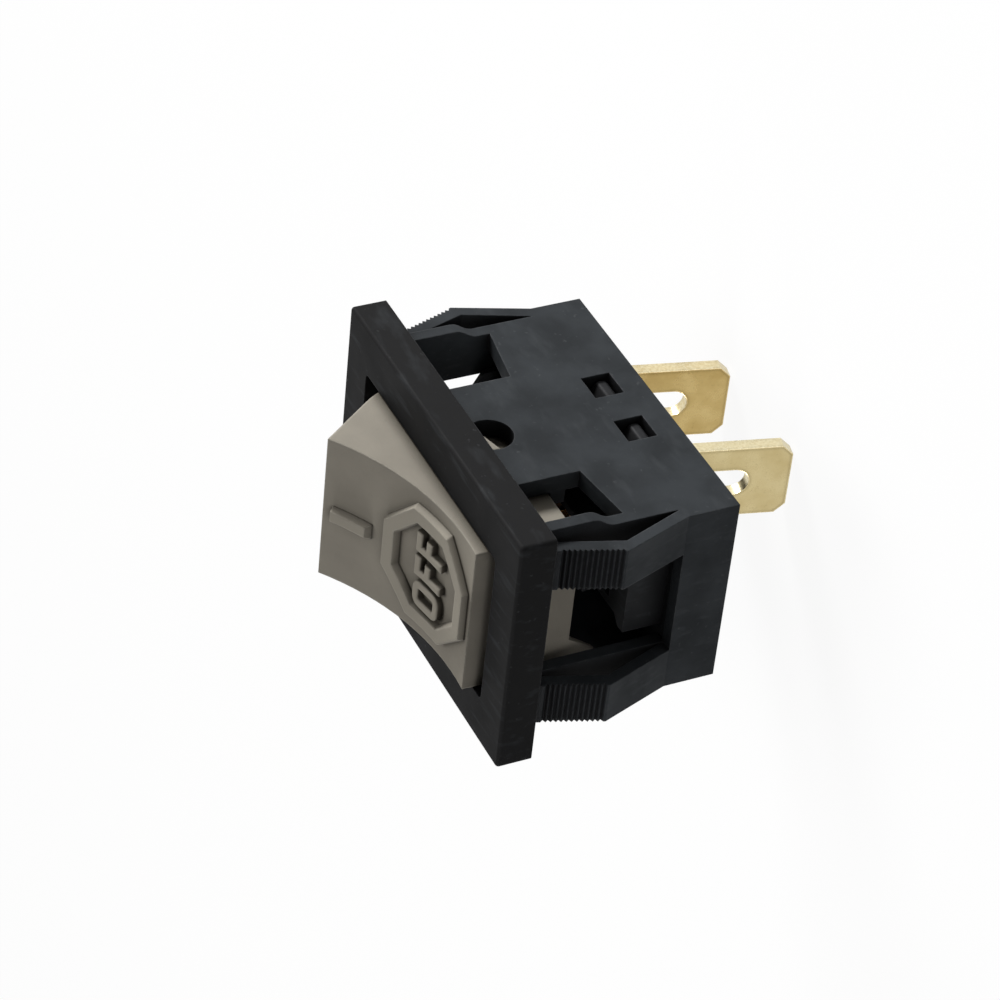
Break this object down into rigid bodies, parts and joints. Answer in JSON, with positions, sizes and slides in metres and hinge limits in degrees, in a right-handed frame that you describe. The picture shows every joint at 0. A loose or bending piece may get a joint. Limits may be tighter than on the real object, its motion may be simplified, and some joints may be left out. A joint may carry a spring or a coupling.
{
  "type": "rocker switch",
  "caption": "Snap-in shut-off rocker switch: rectangular bezel, dished rocker with a raised sign, toothed snap arms, see-saw contact blade and leaning blade terminals.",
  "frame": {"origin": "middle of the bezel's rear face, in the plane of the panel it is snapped into", "axes": "+Z out of the panel towards the finger, X along the bezel with the stop end of the rocker at +X, Y along the rocker's pivot"},
  "size_m": [0.0228, 0.0154, 0.0263],
  "materials": {
    "housing_plastic": "satin",
    "base_plastic": "matte",
    "rocker_plastic": "fine matte",
    "plunger_plastic": "natural",
    "terminal_brass": "bright rolled",
    "blade_copper": "rolled copper alloy",
    "contact_silver": "satin silver alloy",
    "spring_steel": "drawn wire"
  },
  "bodies": {
    "housing": {"housing": "housing_plastic", "contact_base": "base_plastic", "common_terminal": "terminal_brass", "load_terminal": "terminal_brass", "fixed_contact": "contact_silver"},
    "rocker": {"rocker": "rocker_plastic", "plunger_spring": "spring_steel"},
    "plunger": {"plunger": "plunger_plastic"},
    "contact_blade": {"contact_blade": "blade_copper", "moving_contact": "contact_silver"}
  },
  "joints": [
    {"name": "rocker_pivot", "type": "hinge", "parent": "housing", "child": "rocker", "pos_m": [0, 0, -0.00145], "axis": [0, -1, 0], "range_deg": [0, 34]},
    {"name": "blade_swing", "type": "hinge", "parent": "housing", "child": "contact_blade", "pos_m": [0, 0, -0.0073], "axis": [0, 1, 0], "range_deg": [0, 16]},
    {"name": "plunger_slide", "type": "slide", "parent": "rocker", "child": "plunger", "axis": [0.2924, 0, 0.9563], "range_m": [0, 0.0005], "stiffness_N_per_m": 300, "springref_m": -0.002, "deforming": ["plunger_spring"]}
  ],
  "couplings": [
    {"joint": "blade_swing", "follows": "rocker_pivot", "ratio": 0.47059}
  ]
}
